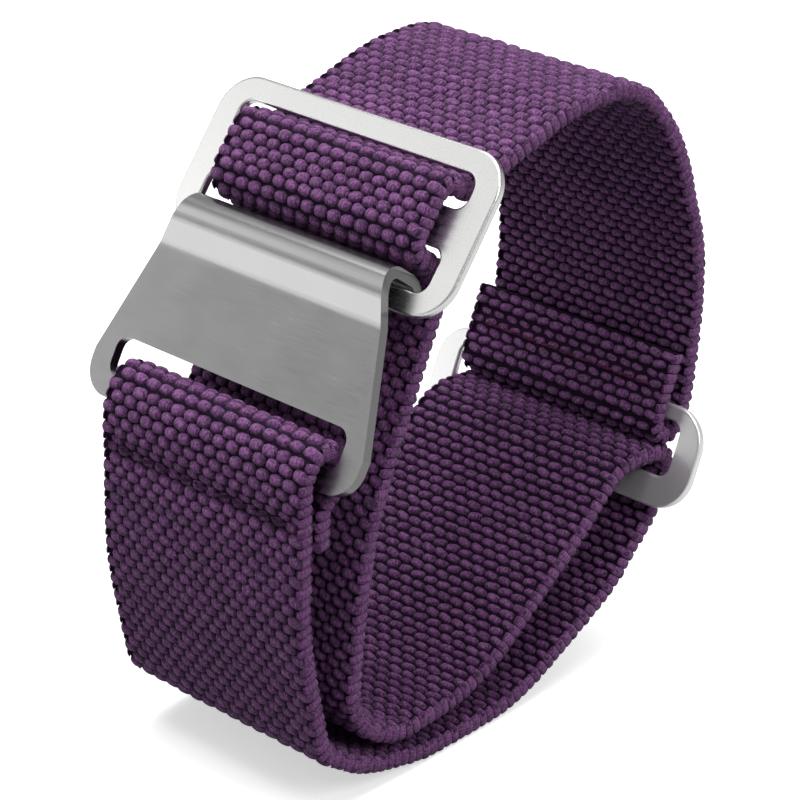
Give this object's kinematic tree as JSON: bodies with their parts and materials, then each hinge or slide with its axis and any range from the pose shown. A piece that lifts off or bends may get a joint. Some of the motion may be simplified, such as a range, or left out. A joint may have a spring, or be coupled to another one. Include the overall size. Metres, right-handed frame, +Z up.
{
  "type": "braided elastic watch strap",
  "caption": "Woven elastic watch strap closed into a loop with a sheet metal hook plate, a barred adjuster and a plain rear loop.",
  "frame": {"origin": "middle of the footprint, on the surface that the strap stands on", "axes": "+Z up, the strap's width along Y, the hook side towards -X"},
  "size_m": [0.0441, 0.0273, 0.0472],
  "materials": {
    "steel": "satin",
    "web": "matte",
    "rubber": "matte",
    "thread": "matte"
  },
  "bodies": {
    "strap": {"web_front_stretch": "web", "web_outer_layer": "web", "web_rear_turn": "web", "web_inner_layer": "web", "web_adjuster_wrap": "web", "web_top_band": "web", "web_rear_fold": "web", "rubber_strands_front_stretch": "rubber", "rubber_strands_outer_layer": "rubber", "rubber_strands_rear_turn": "rubber", "rubber_strands_inner_layer": "rubber", "rubber_strands_adjuster_wrap": "rubber", "rubber_strands_top_band": "rubber", "rubber_strands_rear_fold": "rubber", "rear_seam_thread": "thread"},
    "hook_tab": {"web_hook_fold": "web", "rubber_strands_hook_fold": "rubber", "hook_seam_thread": "thread"},
    "hook": {"hook_plate": "steel"},
    "adjuster": {"three_bar_adjuster": "steel"},
    "back_loop": {"rear_loop": "steel"}
  },
  "joints": [
    {"name": "hook_reach", "type": "slide", "parent": "strap", "child": "hook_tab", "axis": [0, 0, 1], "range_m": [0, 0.004], "stiffness_N_per_m": 800, "deforming": ["web_front_stretch", "rubber_strands_front_stretch", "web_adjuster_wrap", "rubber_strands_adjuster_wrap"]},
    {"name": "hook_lift", "type": "hinge", "parent": "hook_tab", "child": "hook", "pos_m": [-0.01911, 0, 0.02674], "axis": [0, -1, 0], "range_deg": [0, 16]},
    {"name": "adjuster_rock", "type": "hinge", "parent": "strap", "child": "adjuster", "pos_m": [-0.00784, 0, 0.04169], "axis": [0, -1, 0], "range_deg": [-3, 3], "stiffness_Nm_per_rad": 0.01},
    {"name": "rear_loop_rock", "type": "hinge", "parent": "strap", "child": "back_loop", "pos_m": [0.01844, 0, 0.0186], "axis": [0, -1, 0], "range_deg": [-3, 2], "stiffness_Nm_per_rad": 0.005}
  ],
  "couplings": [
    {"joint": "hook_lift", "follows": "hook_reach", "rad_per_m": 69.8}
  ]
}
